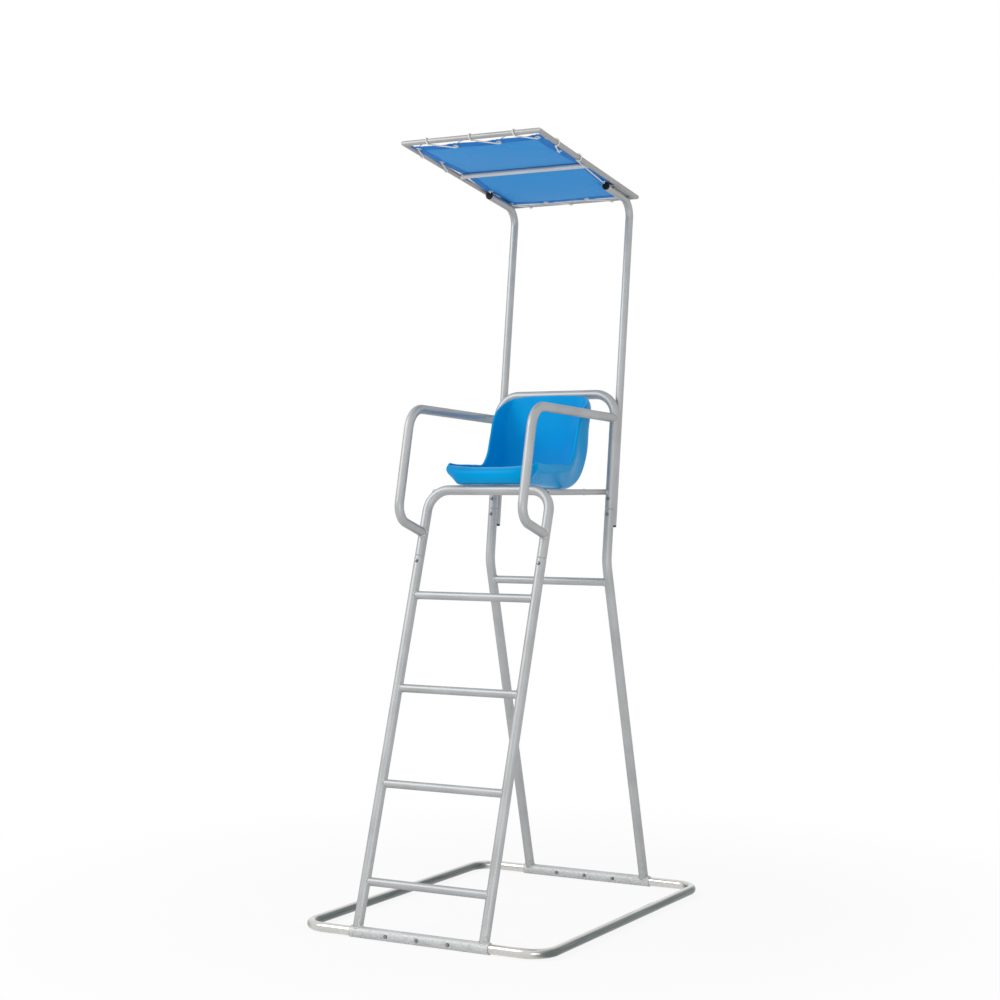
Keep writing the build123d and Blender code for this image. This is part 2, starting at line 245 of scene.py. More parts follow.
def drawn_tube_group():
    """Lines of a drawn tube along its axis, soft clouding of its skin, and fine pits."""
    line_stretch = 0.012
    pit_scale = 1400.0
    inputs = {"Along": (0, 0, 1), "Lines": 900.0, "Clouds": 9.0}
    tree, start, end = group("drawn_tube", inputs, ("Line", "Cloud", "Pit"))
    point = coordinates(tree)
    axis = start["Along"]
    reach = add(tree, "ShaderNodeVectorMath", {0: point, 1: axis}, operation="DOT_PRODUCT").outputs["Value"]
    along = stretched(tree, axis, reach)
    across = vector_node(tree, "SUBTRACT", point, along)
    lines = vector_node(tree, "ADD", across, stretched(tree, along, line_stretch))
    feed(end, "Line", noise_node(tree, lines, start["Lines"], 2.0))
    feed(end, "Cloud", noise_node(tree, point, start["Clouds"], 4.0))
    feed(end, "Pit", noise_node(tree, point, pit_scale, 1.0))
    return tree


def deck_grime_group():
    """Dull splash marks that thin out above the floor."""
    inputs = {"Level": 0.06, "Spots": 120.0}
    tree, start, end = group("deck_grime", inputs, ("Mask",))
    point = coordinates(tree)
    height = parted(tree, point)["Z"]
    limits = {0: height, 1: 0.0, 2: start["Level"], 3: 1.0, 4: 0.0}
    fade = add(tree, "ShaderNodeMapRange", limits).outputs[0]
    spots = noise_node(tree, point, start["Spots"], 4.0, 0.65)
    feed(end, "Mask", math_node(tree, "MULTIPLY", fade, spread(tree, spots, 0.42, 0.7)))
    return tree


def moulded_skin_group():
    """Faint orange peel, slow colour drift and fine scuffs of moulded plastic."""
    bend_scale = 14.0
    drift_scale = 5.0
    scuff_squeeze = (1.0, 9.0, 2.5)
    inputs = {"Peel": 420.0, "Scuffs": 35.0}
    tree, start, end = group("moulded_skin", inputs, ("Peel", "Drift", "Scuff"))
    point = coordinates(tree)
    bent = noise_node(tree, point, bend_scale, 2.0)
    shifted = vector_node(tree, "ADD", point, add(tree, "ShaderNodeCombineXYZ", {0: bent}).outputs[0])
    squeezed = vector_node(tree, "MULTIPLY", shifted, scuff_squeeze)
    scratches = noise_node(tree, squeezed, start["Scuffs"], 5.0, 0.7)
    feed(end, "Peel", noise_node(tree, point, start["Peel"], 1.5))
    feed(end, "Drift", noise_node(tree, point, drift_scale, 3.0))
    feed(end, "Scuff", spread(tree, scratches, 0.62, 0.74))
    return tree


def plain_weave_group():
    """Over-and-under threads of a plain weave, from flat coordinates in metres."""
    crossing_share = 0.4
    slub_squeeze = (1.0, 14.0, 1.0)
    slub_scale = 55.0
    inputs = {"Thread": 0.0011}
    tree, start, end = group("plain_weave", inputs, ("Height", "Shade", "Slub"))
    flat = add(tree, "ShaderNodeUVMap", uv_map="flat").outputs[0]
    parts = parted(tree, flat)
    waves = []
    for axis in ("X", "Y"):
        turn = math_node(tree, "DIVIDE", parts[axis], start["Thread"])
        waves.append(math_node(tree, "SINE", scaled(tree, turn, math.pi)))
    over = math_node(tree, "MULTIPLY", *waves)
    ridges = math_node(tree, "MAXIMUM", *[math_node(tree, "ABSOLUTE", wave) for wave in waves])
    height = math_node(tree, "ADD", ridges, scaled(tree, over, crossing_share))
    feed(end, "Height", height)
    feed(end, "Shade", spread(tree, height, 0.3, 1.3))
    feed(end, "Slub", noise_node(tree, vector_node(tree, "MULTIPLY", flat, slub_squeeze), slub_scale, 3.0))
    return tree


drawn_tube = drawn_tube_group()
deck_grime = deck_grime_group()
moulded_skin = moulded_skin_group()
plain_weave = plain_weave_group()


def new_finish(name, **settings):
    """Starts a material and sets what is the same all over it."""
    made = bpy.data.materials.new(name)
    made.use_nodes = True
    shader = made.node_tree.nodes["Principled BSDF"]
    for socket, value in settings.items():
        shader.inputs[socket.replace("_", " ").title().replace("Ior", "IOR")].default_value = value
    return made, made.node_tree, shader


def bump(tree, shader, height, strength, distance):
    """Feeds a height to the shader's normal."""
    inputs = {"Strength": strength, "Distance": distance, "Height": height}
    feed(shader, "Normal", add(tree, "ShaderNodeBump", inputs).outputs[0])


GRIME = (0.24, 0.24, 0.22, 1)
EDGE_TINT = (0.55, 0.56, 0.57, 1)


def splashed(tree, shader, level, clean, rough, cover, dulling):
    """Feeds a colour and a roughness to the shader, both dulled by splash marks near the floor."""
    marks = use(tree, deck_grime, level=level)["Mask"]
    feed(shader, "Base Color", colour_mix(tree, scaled(tree, marks, cover), clean, GRIME))
    feed(shader, "Roughness", math_node(tree, "ADD", rough, scaled(tree, marks, dulling)))


def tube_finish(name, along, pale, deep, metal, rough, grime_level):
    """Drawn aluminium tube with its lines along the tube and splash marks near the floor."""
    line_share = 0.45
    grain = 0.06
    pit_share = 0.4
    made, tree, shader = new_finish(name, metallic=metal, specular_tint=EDGE_TINT)
    skin = use(tree, drawn_tube, along=along)
    lines = scaled(tree, skin["Line"], line_share)
    share = math_node(tree, "ADD", lines, scaled(tree, skin["Cloud"], 1 - line_share))
    clean = colour_mix(tree, spread(tree, share, 0.36, 0.64), deep, pale)
    brushed = spread(tree, skin["Line"], 0.3, 0.7, rough - grain, rough + grain)
    patchy = math_node(tree, "ADD", brushed, spread(tree, skin["Cloud"], 0.35, 0.7, -0.03, 0.05))
    splashed(tree, shader, grime_level, clean, patchy, cover=0.45, dulling=0.25)
    relief = math_node(tree, "ADD", skin["Line"], scaled(tree, skin["Pit"], pit_share))
    bump(tree, shader, relief, 0.10, 0.0004)
    return made


# Tube looks: pale and deep tint, share of metal, roughness, and how high splash marks reach
SATIN = ((0.50, 0.51, 0.515, 1), (0.41, 0.42, 0.425, 1), 0.55, 0.46, 0.12)
MILL = ((0.66, 0.67, 0.675, 1), (0.55, 0.56, 0.565, 1), 0.5, 0.55, 0.05)
SHADE = ((0.46, 0.46, 0.455, 1), (0.37, 0.375, 0.37, 1), 0.5, 0.45, 0.01)
# Paler copy of the shade tube for the middle bar: a painted highlight standing in for the light that bar
# catches
MIDDLE_BAR_PAINTED_LIT = ((0.72, 0.715, 0.72, 1), (0.62, 0.615, 0.62, 1), 0.3, 0.45, 0.01)


def runner_finish():
    """Polished floor runner, its colour a painted reflection: dark on its flanks, as if they mirrored the
    deck's edge, and pale on top.
    """
    dark_low, dark_high = (0.09, 0.108, 0.108, 1), (0.165, 0.19, 0.19, 1)
    bright_high, bright_low = (0.70, 0.69, 0.665, 1), (0.56, 0.55, 0.53, 1)
    made, tree, shader = new_finish("polished_runner", metallic=1.0)
    skin = use(tree, drawn_tube, along=Y_AXIS, lines=600.0)
    across = math_node(tree, "ABSOLUTE", parted(tree, coordinates(tree, "Normal"))["X"])
    # Painted reflection: the more a face turns to either side, the more it takes the dark flank colours;
    # upward faces take the pale ones
    painted_reflection_share = spread(tree, across, 0.30, 0.80)
    painted_dark_flanks = colour_mix(tree, spread(tree, skin["Line"], 0.35, 0.65), dark_low, dark_high)
    painted_pale_top = colour_mix(tree, skin["Cloud"], bright_high, bright_low)
    clean = colour_mix(tree, painted_reflection_share, painted_pale_top, painted_dark_flanks)
    gloss = spread(tree, skin["Cloud"], 0.35, 0.7, 0.10, 0.18)
    splashed(tree, shader, 0.03, clean, gloss, cover=0.4, dulling=0.3)
    bump(tree, shader, skin["Line"], 0.05, 0.0003)
    return made


def mottled_finish(name, skin, tint, gloss, relief, **settings):
    """Finish whose tint, gloss and relief each follow one output of a skin."""
    made, tree, shader = new_finish(name, **settings)
    kind, values = skin
    outputs = use(tree, kind, **values)
    output, low, high, first, second = tint
    feed(shader, "Base Color", colour_mix(tree, spread(tree, outputs[output], low, high), first, second))
    output, smooth, rough = gloss
    feed(shader, "Roughness", spread(tree, outputs[output], 0.3, 0.7, smooth, rough))
    output, strength, distance = relief
    bump(tree, shader, outputs[output], strength, distance)
    return made


def plated_finish(name, pale, deep):
    """Plated steel of bolts and eyelets, a little mottled."""
    skin = (drawn_tube, {"lines": 700.0, "clouds": 220.0})
    tint = ("Cloud", 0.35, 0.65, deep, pale)
    return mottled_finish(name, skin, tint, ("Cloud", 0.28, 0.46), ("Pit", 0.12, 0.0002), metallic=0.9)


def plastic_finish(name, clear, drifted, gloss, shine, peel):
    """Moulded plastic with peel, slow drift of its colour and rubbed scuffs."""
    scuff_dulling = 0.16
    made, tree, shader = new_finish(name, specular_tint=shine, specular_ior_level=0.17)
    skin = use(tree, moulded_skin, peel=peel)
    feed(shader, "Base Color", colour_mix(tree, spread(tree, skin["Drift"], 0.3, 0.7), clear, drifted))
    base = spread(tree, skin["Drift"], 0.3, 0.7, gloss - 0.03, gloss + 0.05)
    feed(shader, "Roughness", math_node(tree, "ADD", base, scaled(tree, skin["Scuff"], scuff_dulling)))
    bump(tree, shader, skin["Peel"], 0.05, 0.0006)
    return made


def cloth_finish(name, clear, thread, rough):
    """Coated plain-weave shade cloth."""
    patch = 0.08
    made, tree, shader = new_finish(name, sheen_weight=0.04, sheen_roughness=0.4, specular_ior_level=0.25)
    weave = use(tree, plain_weave)
    tint = colour_mix(tree, weave["Shade"], thread, clear)
    slub_share = spread(tree, weave["Slub"], 0.35, 0.7, 0.0, 0.35)
    feed(shader, "Base Color", colour_mix(tree, slub_share, tint, thread))
    feed(shader, "Roughness", spread(tree, weave["Slub"], 0.3, 0.7, rough - patch, rough + patch))
    bump(tree, shader, weave["Height"], 0.25, 0.0003)
    return made


SEAT_SHINE = (0.2, 0.65, 1.0, 1)
CAP_SHINE = (0.8, 0.8, 0.8, 1)
SEAT_TINTS = ((0.0, 0.37, 0.79, 1), (0.0, 0.32, 0.73, 1))
CAP_TINTS = ((0.012, 0.012, 0.013, 1), (0.02, 0.02, 0.021, 1))
polished_runner = runner_finish()
# Bright weld metal with a straw tint in places
weld_metal = mottled_finish(
    "weld_metal",
    skin=(drawn_tube, {"lines": 500.0, "clouds": 60.0}),
    tint=("Cloud", 0.4, 0.65, (0.60, 0.61, 0.61, 1), (0.48, 0.465, 0.43, 1)),
    gloss=("Pit", 0.32, 0.5),
    relief=("Pit", 0.2, 0.0003),
    metallic=0.8,
)
dark_bolt = plated_finish("dark_bolt", (0.30, 0.30, 0.295, 1), (0.20, 0.205, 0.21, 1))
bright_eyelet = plated_finish("bright_eyelet", (0.72, 0.72, 0.70, 1), (0.58, 0.59, 0.59, 1))
seat_blue = plastic_finish("seat_blue", *SEAT_TINTS, 0.30, SEAT_SHINE, 420.0)
cap_black = plastic_finish("cap_black", *CAP_TINTS, 0.45, CAP_SHINE, 900.0)
# The sheet's blue is partly the cloth's own colour and partly painted light: it is set paler than the hem's,
# standing in for light shining through the single layer
shade_blue = cloth_finish("shade_blue", (0.04, 0.38, 0.86, 1), (0.022, 0.30, 0.76, 1), 0.62)
hem_blue = cloth_finish("hem_blue", (0.004, 0.24, 0.70, 1), (0.002, 0.18, 0.60, 1), 0.6)
# White polyester cord, a little greyed
white_cord = mottled_finish(
    "white_cord",
    skin=(moulded_skin, {"peel": 2200.0, "scuffs": 60.0}),
    tint=("Drift", 0.3, 0.7, (0.90, 0.90, 0.88, 1), (0.80, 0.80, 0.79, 1)),
    gloss=("Peel", 0.6, 0.85),
    relief=("Peel", 0.3, 0.0004),
    sheen_weight=0.2,
    sheen_roughness=0.5,
)



def both(*names):
    """Left and right names of nodes that come in pairs."""
    return [f"{name}_{side}" for name in names for side in SIDES]


# Tubes keep their CAD solids, each with its lines along its own run
tube_crease = math.radians(35)
rungs = [f"ladder_rung_{step}" for step in range(1, 5)]
dressed = [(polished_runner, both("base_runner"))]
for name, along, look, names in (
    ("satin_tube_across", X_AXIS, SATIN, ["rear_cross_bar", "seat_cross_bar", *rungs]),
    ("satin_tube_level", Y_AXIS, SATIN, both("seat_rail", "armrest")),
    ("satin_tube_ladder", ladder_up, SATIN, ["front_hoop", *both("ladder_leg")]),
    ("satin_tube_rear", rear_up, SATIN, both("rear_leg")),
    ("satin_tube_back", back_up, SATIN, ["backrest_hoop", *both("shade_post")]),
    ("mill_sleeve", X_AXIS, MILL, ["front_base_sleeve", "rear_base_sleeve"]),
    ("shade_tube_across", X_AXIS, SHADE, ["shade_front_bar", "shade_rear_bar"]),
    ("shade_tube_along", shade_forward, SHADE, both("shade_side", "shade_bracket")),
    # The middle bar takes the paler copy, a painted highlight
    ("shade_tube_middle", X_AXIS, MIDDLE_BAR_PAINTED_LIT, ["shade_middle_bar"]),
):
    dressed.append((tube_finish(name, along, *look), names))
for finish, names in dressed:
    for mesh in (nodes[name].data for name in names):
        mesh.materials.clear()
        mesh.materials.append(finish)
        mesh.shade_smooth()
        mesh.set_sharp_from_angle(angle=tube_crease)

# Welds: rippled beads where a tube's end meets the tube that carries it
bead_radius = 0.0024
ripple_pitch = 0.0032
ripple_steps = 5
bead_sides = 8
bead_ripple = 0.14
bead_stand = 0.25
bead_tip = 0.25
bead_taper = 0.2
far_side_share = 0.8
welds = {name: Rings() for name in ("ladder_welds", "base_welds", "seat_frame_welds", "shade_welds")}


def bead_run(rings, points, outs, back, closed):
    """Sweeps a rippled bead along the line where two tubes meet."""
    swept = []
    count = len(points)
    for index, point in enumerate(points):
        ripple = 1 - bead_ripple + bead_ripple * abs(math.sin(math.pi * index / ripple_steps))
        ends = 1.0 if closed else min(1.0, bead_tip + bead_taper * min(index, count - 1 - index))
        centre = point + (outs[index] + back) * bead_radius * bead_stand
        swept.append(ring_about(centre, outs[index], back, [bead_radius * ripple * ends] * bead_sides))
    rings.loft(swept, loop=closed, caps=not closed)


def weld(piece, start, direction, radius, host):
    """Bead round the end of a tube, on the surface of its host node."""
    surface = BVHTree.FromObject(nodes[host], bpy.context.evaluated_depsgraph_get())
    sideways = direction.orthogonal().normalized()
    upright = direction.cross(sideways)
    ripples = round(math.tau * radius / ripple_pitch)
    count = ripples * ripple_steps
    outs = ring_about(Vector(), sideways, upright, [1.0] * count)
    hits = [(surface.ray_cast(start + out * radius, direction)[0], out) for out in outs]
    nearest = min((hit - start).dot(direction) for hit, out in hits if hit)
    runs = [[]]
    for hit, out in hits:
        if hit is None or (hit - start).dot(direction) > nearest + radius * far_side_share:
            runs.append([])
        else:
            runs[-1].append((hit, out))
    closed = len(runs) == 1
    if not closed and runs[0] and runs[-1]:
        runs[0] = runs.pop() + runs[0]
    for run in runs:
        if len(run) > 2 * ripple_steps:
            points, outs = zip(*run)
            bead_run(welds[piece], points, outs, -direction, closed)


step_back = 0.12
leg_spots = {side: Vector((sign * frame_half, 0, 0)) for side, sign in SIDES.items()}
for side, sign in SIDES.items():
    outward = X_AXIS * sign
    for step in range(1, 5):
        weld("ladder_welds", middle(f"ladder_rung_{step}"), outward, bar_radius, f"ladder_leg_{side}")
    weld("base_welds", middle("rear_cross_bar"), outward, bar_radius, f"rear_leg_{side}")
    foot = middle("front_base_sleeve") + leg_spots[side] + ladder_up * step_back
    weld("base_welds", foot, -ladder_up, leg_radius, "front_base_sleeve")
    foot = middle("rear_base_sleeve") + leg_spots[side] + rear_up * step_back
    weld("base_welds", foot, -rear_up, leg_radius, "rear_base_sleeve")
    rail = middle(f"seat_rail_{side}")
    weld("seat_frame_welds", rail, -Y_AXIS, rail_radius, "front_hoop")
    weld("seat_frame_welds", rail, Y_AXIS, rail_radius, "backrest_hoop")
    weld("seat_frame_welds", middle("seat_cross_bar"), outward, rail_radius, f"seat_rail_{side}")
    weld("shade_welds", middle("shade_middle_bar"), outward, shade_radius, f"shade_side_{side}")

# Armrest ends: the top run meets the backrest hoop, and the foot comes in square to the front hoop
arm_rise = math.radians(2.3)
arm_back = Vector((0, math.cos(arm_rise), -math.sin(arm_rise)))
foot_in = Vector((0, ladder_up.z, -ladder_up.y))
end_reach = 0.012


def run_end(node, direction, below):
    """Middle of the end of a tube that runs out in a direction, looked for under a height."""
    points = [v.co for v in nodes[node].data.vertices if v.co.z < below]
    furthest = max(p.dot(direction) for p in points)
    end = [p for p in points if p.dot(direction) > furthest - end_reach]
    upright = direction.cross(X_AXIS)
    heights = [p.dot(upright) for p in end]
    return X_AXIS * middle(node).x + upright * (min(heights) + max(heights)) / 2 + direction * furthest


for side in SIDES:
    arm = f"armrest_{side}"
    rear = run_end(arm, arm_back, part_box(arm)[1].z)
    weld("seat_frame_welds", rear - arm_back * step_back, arm_back, arm_radius, "backrest_hoop")
    foot = run_end(arm, foot_in, middle(arm).z)
    weld("seat_frame_welds", foot - foot_in * step_back / 2, foot_in, arm_radius, "front_hoop")

# Seat rails run past the hoop's bend, so weld metal closes the part of the end that stands free
rail_wall = 0.002
rail_bore = rail_radius - rail_wall
bore_slack = 0.0002
fill_depth = 0.004
fill_crown = 0.0015
fill_steps = 4


def filled_end(rings, node):
    """Plug of weld metal in the front end of a rail, its rim on the edge of the bore."""
    centre = middle(node)
    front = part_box(node)[0].y
    edge = {}
    for point in (vertex.co for vertex in nodes[node].data.vertices):
        out = Vector((point.x - centre.x, point.z - centre.z))
        if point.y < front + 2 * rail_radius and abs(out.length - rail_bore) < bore_slack:
            edge[round(math.degrees(math.atan2(out.y, out.x)))] = point.copy()
    rim = [edge[angle] for angle in sorted(edge)]
    hub = sum(rim, Vector()) / len(rim) - Y_AXIS * fill_crown
    swept = [[point + Y_AXIS * fill_depth for point in rim]]
    swept += [[point.lerp(hub, step / fill_steps) for point in rim] for step in range(fill_steps)]
    rings.loft(swept, caps=True)


for side in SIDES:
    filled_end(welds["seat_frame_welds"], f"seat_rail_{side}")
for name, rings in welds.items():
    slot = "shade_tube" if name == "shade_welds" else "satin_tube"
    rings.piece(name, weld_metal, slot, crease=None)

# Bolts with washers, and nuts where they come out
bolt_across = 0.010
bolt_head = 0.0042
washer_radius = 0.0068
washer_thickness = 0.0013
nut_height = 0.0052
stud_radius = 0.003
stud_length = 0.0035
stud_taper_share = 0.7
washer_edge_share = 0.25
hex_steps = 36
# Share of a hexagon's height, and how far its corners reach there against its flats
hex_levels = ((0.0, 1.0), (0.12, 1.16), (0.78, 1.16), (0.94, 1.04), (1.0, 0.94))


def hex_prism(rings, place, base, height, across):
    """Hexagon with bevelled corners."""
    x_axis, y_axis, z_axis, origin = (column.xyz for column in place.col)
    half = across / 2
    flats = [half / math.cos((a + math.pi / 6) % (math.pi / 3) - math.pi / 6) for a in angles(hex_steps)]
    swept = []
    for level, reach in hex_levels:
        centre = origin + z_axis * (base + height * level)
        swept.append(ring_about(centre, x_axis, y_axis, [min(flat, half * reach) for flat in flats]))
    rings.loft(swept, caps=True)


def washer(rings, place):
    """Washer with broken edges, a little sunk so that it bears on round tube."""
    edge = washer_thickness * washer_edge_share
    profile = (
        (washer_radius - edge, -edge),
        (washer_radius, 0.0),
        (washer_radius, washer_thickness - edge),
        (washer_radius - edge, washer_thickness),
        (bolt_across / 2, washer_thickness),
    )
    rings.turned(profile, place)


def bolt(rings, head_point, direction, nut_point=None):
    """Hexagon head on one side and, where it goes right through, a nut on the other."""
    place = placed(head_point, direction)
    washer(rings, place)
    hex_prism(rings, place, washer_thickness, bolt_head, bolt_across)
    if nut_point is not None:
        place = placed(nut_point, -direction)
        washer(rings, place)
        hex_prism(rings, place, washer_thickness, nut_height, bolt_across)
        base = washer_thickness + nut_height
        stud = (
            (stud_radius, base),
            (stud_radius, base + stud_length * stud_taper_share),
            (stud_radius * stud_taper_share, base + stud_length),
        )
        rings.turned(stud, place, count=16)


base_bolt_reach = 0.117
base_bolts = Rings()
for name, outward in (("front_base_sleeve", -Y_AXIS), ("rear_base_sleeve", Y_AXIS)):
    for share in (-1, 0, 1):
        spot = middle(name) + X_AXIS * base_bolt_reach * share
        bolt(base_bolts, spot + outward * sleeve_radius, outward, spot - outward * sleeve_radius)
base_bolts.piece("base_bolts", dark_bolt, "matte_tube")

splice_drop = 0.024
joint_bolts = Rings()
ladder_normal = Vector((0, -ladder_up.z, ladder_up.y))
post_bolt_heights = (1.377, 1.433)
hoop_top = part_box("backrest_hoop")[1]
back_rail = Vector((0, hoop_top.y - leg_radius, hoop_top.z - leg_radius))
for side, sign in SIDES.items():
    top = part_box(f"ladder_leg_{side}")[1].z
    rung = middle("ladder_rung_4")
    spot = leg_spots[side] + rung + ladder_up * ((top - rung.z) / ladder_up.z - splice_drop)
    bolt(joint_bolts, spot + ladder_normal * leg_radius, ladder_normal, spot - ladder_normal * leg_radius)
    for height in post_bolt_heights:
        spot = leg_spots[side] + back_rail + back_up * ((height - back_rail.z) / back_up.z)
        behind = spot - back_normal * (leg_radius + 2 * bar_radius)
        bolt(joint_bolts, spot + back_normal * leg_radius, back_normal, behind)
joint_bolts.piece("joint_bolts", dark_bolt, "satin_tube")

# Shade frame: local X across, Y to the rear down the slope, Z above the cloth
shade_origin = middle("shade_rear_bar")
shade_rear = -shade_forward
shade_up = X_AXIS.cross(shade_rear)


def shade_point(x, y, z):
    """Point given in the shade's own directions."""
    return shade_origin + X_AXIS * x + shade_rear * y + shade_up * z


bracket_bolt_y = (-0.052, -0.168)
bracket_bolt_x = 0.257
bracket_thickness = 0.0042
bracket_under = -shade_radius - bracket_thickness
shade_bolts = Rings()
for sign in SIDES.values():
    for y in bracket_bolt_y:
        bolt(shade_bolts, shade_point(sign * bracket_bolt_x, y, bracket_under), -shade_up)
shade_bolts.piece("shade_bolts", dark_bolt, "shade_tube")

# End caps with rolled edges
cap_length = 0.006
cap_roll = 0.0028
cap_plug = 0.018
cap_wall = 0.003
cap_clearance = 0.0002
cap_crown = 0.0004
cap_steps = 6
cap_face_shares = (0.45, 0.12)


def end_cap(name, outward):
    """Rounded plug cap in place of a plain CAD one."""
    points = np.array([v.co for v in nodes[name].data.vertices])
    centre = Vector(points.mean(0))
    reach = ((points - np.array(centre)) @ np.array(outward)).max()
    place = placed(centre + outward * (reach - cap_length), outward)
    bore = bar_radius - cap_wall
    rim = bar_radius - cap_clearance
    profile = [(bore, -cap_plug), (bore, 0.0), (rim, 0.0)]
    for step in range(cap_steps + 1):
        angle = math.pi / 2 * step / cap_steps
        height = cap_length - cap_roll - cap_crown + cap_roll * math.sin(angle)
        profile.append((rim - cap_roll * (1 - math.cos(angle)), height))
    for share, drop in zip(cap_face_shares, (cap_crown / 4, 0.0)):
        profile.append((bar_radius * share, cap_length - drop))
    rings = Rings()
    rings.turned(profile, place, count=40)
    rings.piece(f"{name}_rounded", cap_black, "black_plastic", replaced=[name], crease=math.radians(60))


for side in SIDES:
    end_cap(f"post_arm_cap_{side}", shade_forward)
    end_cap(f"post_foot_cap_{side}", -back_up)

# Moulded seat: a loft from the lip over the dished pan and up the back
seat_rows = 110
row_crowding = 0.9
bend_steps = 7
roll_steps = 5
seat_half = span("seat_shell").x / 2
seat_top_radius = 0.042
seat_lip_radius = 0.012
seat_lip_taper = 0.002
seat_crown = 0.010
crown_start_share = 0.8
rim_wall = 0.012
lip_bulge = 0.030
lip_full_height = 0.05
lip_corner_turn = 0.4
lip_corner_power = 6
top_roll = 0.006
seam_gap = 0.0002
lip_taper_end_share = 0.625
face_flange_share = 0.3
flange_limit_share = 0.45
bend_limit_share = 0.48
# Side lines from the lip to the top of the back, as (Y, Z): middle of the face, rim, middle of the underside
face_line = [
    (-.146, 1.545), (-.07, 1.533), (.02, 1.513), (.11, 1.503), (.20, 1.508),
    (.253, 1.536), (.275, 1.600), (.288, 1.700), (.3005, 1.803),
]
rim_line = [
    (-.130, 1.557), (-.07, 1.551), (.00, 1.551), (.062, 1.551), (.118, 1.554),
    (.157, 1.594), (.182, 1.660), (.214, 1.738), (.2985, 1.8015),
]
under_line = [
    (-.134, 1.485), (-.06, 1.481), (.03, 1.477), (.12, 1.472), (.206, 1.470),
    (.262, 1.501), (.284, 1.580), (.298, 1.690), (.312, 1.803),
]
# Along the same lines: where the wall starts, how far its foot is rounded, and the flange under the rim
face_half_shares = [.45, .66, .72, .74, .78, .82, .86, .90, .94]
under_half_shares = [.76, .76, .76, .75, .74, .845, .97, .99, .99]
face_bends = [.060, .045, .040, .045, .055, .065, .070, .070, .060]
under_bends = [.012, .012, .012, .014, .022, .040, .048, .048, .040]
flanges = [.022, .022, .024, .024, .020, .012, .008, .006, .0005]


def curve_point(before, first, last, after, t):
    """Point on the smooth curve between two points, bent by their neighbours."""
    slope = (last - before) * t
    bend = (2 * before - 5 * first + 4 * last - after) * t * t
    twist = (3 * first - before - 3 * last + after) * t ** 3
    return 0.5 * (2 * first + slope + bend + twist)


def smooth_line(points, share):
    """Point on the smooth line through evenly paced points."""
    points = [np.atleast_1d(np.asarray(p, float)) for p in points]
    pace = share * (len(points) - 1)
    index = min(int(pace), len(points) - 2)
    before = points[max(index - 1, 0)]
    after = points[min(index + 2, len(points) - 1)]
    return curve_point(before, points[index], points[index + 1], after, pace - index)


def rounded_run(corners, bends):
    """Line through corners with the inner ones rounded, in a set number of points."""
    line = [corners[0]]
    for before, corner, after, bend in zip(corners, corners[1:], corners[2:], bends):
        back, on = before - corner, after - corner
        start = corner + back * min(bend / max(back.length, 1e-6), bend_limit_share)
        end = corner + on * min(bend / max(on.length, 1e-6), bend_limit_share)
        for step in range(bend_steps + 1):
            t = step / bend_steps
            line.append(start * (1 - t) ** 2 + corner * 2 * t * (1 - t) + end * t * t)
    return line + [corners[-1]]


def trough(floor, rim, foot_half, rim_half, flange, bend):
    """Half section from the middle to the rim: floor, rounded foot, wall and upright flange."""
    rise = Vector((0, *rim)) - Vector((0, *floor))
    depth = rise.length
    flange = min(flange, depth * flange_limit_share)
    spots = ((0, 0), (foot_half, 0), (rim_half, depth - flange), (rim_half, depth))
    section = []
    for x, lift in rounded_run([Vector(spot) for spot in spots], (bend, flange * flange_limit_share)):
        section.append(Vector((x, *floor)) + rise * (lift / depth))
    return section


def mirrored(section, crown):
    """Full section from the left rim to the right one, lowered to its ends by an arch."""
    lowered = [Vector((p.x, p.y, p.z - crown * (p.x / seat_half) ** 2)) for p in section]
    return [Vector((-p.x, p.y, p.z)) for p in reversed(lowered[1:])] + lowered


def rolled(first, last, push):
    """Points of a roll between two edges, pushed out by a vector."""
    made = []
    for step in range(1, roll_steps + 1):
        angle = math.pi * step / (roll_steps + 1)
        made.append((first + last) / 2 + (first - last) / 2 * math.cos(angle) + push * math.sin(angle))
    return made


def corner_turn(into, radius):
    """Angle turned by a rounded corner at a distance into it."""
    return math.asin(min(1.0, max(0.0, into / radius)))


